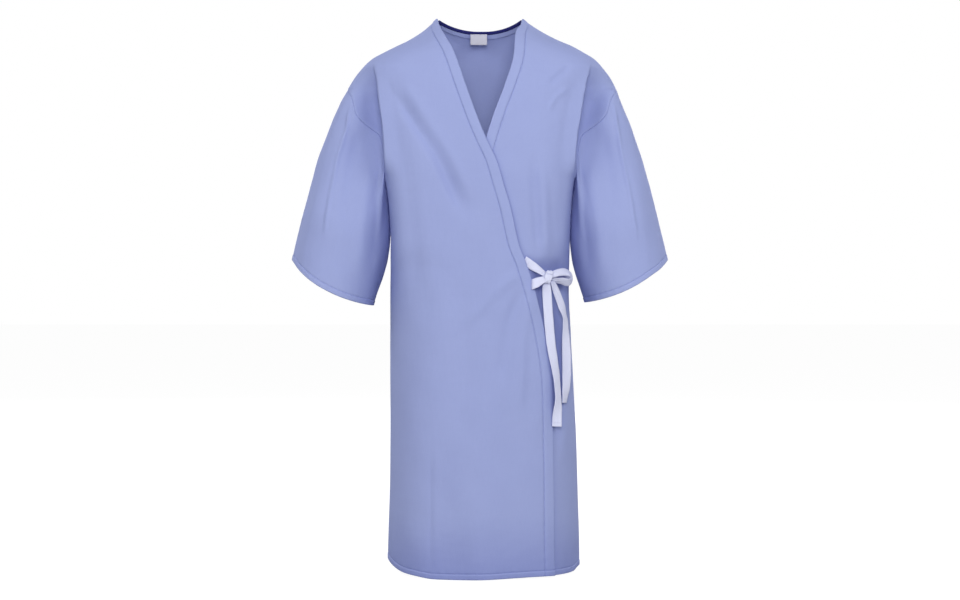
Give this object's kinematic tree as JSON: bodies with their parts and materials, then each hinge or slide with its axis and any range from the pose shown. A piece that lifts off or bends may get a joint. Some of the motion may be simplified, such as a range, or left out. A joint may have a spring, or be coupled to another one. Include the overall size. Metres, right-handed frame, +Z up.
{
  "type": "patient gown",
  "caption": "Wrap-over hospital patient gown with a V neck, wide elbow-length dropped sleeves, stitched hems and tape ties tied at the waist.",
  "frame": {"origin": "floor level of the lowest hem point, on the centre line and the side-seam plane", "axes": "+Z up the gown towards the neck, +X towards the wearer's left sleeve, the front faces -Y"},
  "size_m": [0.752, 0.2546, 1.0987],
  "materials": {
    "cloth": "plain-weave polycotton, periwinkle blue, matt",
    "binding": "navy bias binding, matt",
    "tape": "white herringbone twill tape, matt",
    "label": "plain white woven label, satin",
    "thread": "blue sewing thread, lightly shining"
  },
  "bodies": {
    "torso": {"back_panel": "cloth", "outer_front_panel": "cloth", "under_front_panel": "cloth", "outer_neck_facing": "cloth", "under_neck_facing": "cloth", "neck_binding": "binding", "neck_tape": "cloth", "label_tacks": "thread", "back_hem_stitching": "thread", "back_neck_stitching": "thread", "side_seam_stitching": "thread", "shoulder_seam_stitching": "thread", "seam_tie": "tape"},
    "outer_flap": {"outer_front_flap": "cloth", "outer_front_facing": "cloth", "outer_edge_stitching": "thread", "outer_hem_stitching": "thread", "edge_tie": "tape", "edge_tie_tack": "thread"},
    "under_flap": {"under_front_flap": "cloth", "under_front_facing": "cloth"},
    "right_sleeve": {"right_sleeve": "cloth", "right_sleeve_stitching": "thread"},
    "left_sleeve": {"left_sleeve": "cloth", "left_sleeve_stitching": "thread"},
    "edge_tie_tail": {"edge_tie_tail": "tape"},
    "seam_tie_tail": {"seam_tie_tail": "tape"},
    "inner_edge_tie": {"inner_edge_tie": "tape"},
    "inner_side_tie": {"inner_side_tie": "tape"},
    "neck_label": {"neck_label": "label"}
  },
  "joints": [
    {"name": "outer_front_open", "type": "hinge", "parent": "torso", "child": "outer_flap", "pos_m": [-0.029, -0.12362, 0.956], "axis": [-0.1153, 0, -0.9933], "range_deg": [0, 120]},
    {"name": "under_front_open", "type": "hinge", "parent": "torso", "child": "under_flap", "pos_m": [0.029, -0.12362, 0.956], "axis": [-0.1153, 0, 0.9933], "range_deg": [0, 30]},
    {"name": "right_sleeve_raise", "type": "hinge", "parent": "torso", "child": "right_sleeve", "pos_m": [-0.266, 0, 0.96], "axis": [0, 1, 0], "range_deg": [0, 60]},
    {"name": "left_sleeve_raise", "type": "hinge", "parent": "torso", "child": "left_sleeve", "pos_m": [0.266, 0, 0.96], "axis": [0, -1, 0], "range_deg": [0, 60]},
    {"name": "edge_tie_tail_swing", "type": "hinge", "parent": "outer_flap", "child": "edge_tie_tail", "pos_m": [0.128, -0.1075, 0.5665], "axis": [-1, 0, 0], "range_deg": [0, 80]},
    {"name": "seam_tie_tail_swing", "type": "hinge", "parent": "torso", "child": "seam_tie_tail", "pos_m": [0.15, -0.0925, 0.5665], "axis": [-1, 0, 0], "range_deg": [0, 80]},
    {"name": "neck_label_flip", "type": "hinge", "parent": "torso", "child": "neck_label", "pos_m": [-0.0025, 0.04128, 1.076], "axis": [-1, 0, 0], "range_deg": [0, 110]},
    {"name": "inner_edge_tie_swing", "type": "hinge", "parent": "under_flap", "child": "inner_edge_tie", "pos_m": [-0.022, -0.10989, 0.5885], "axis": [1, 0, 0], "range_deg": [0, 15]},
    {"name": "inner_side_tie_swing", "type": "hinge", "parent": "torso", "child": "inner_side_tie", "pos_m": [-0.17362, 0.001, 0.5885], "axis": [0, -1, 0], "range_deg": [0, 70]}
  ],
  "couplings": [
    {"joint": "under_front_open", "follows": "outer_front_open", "ratio": 0.25}
  ]
}
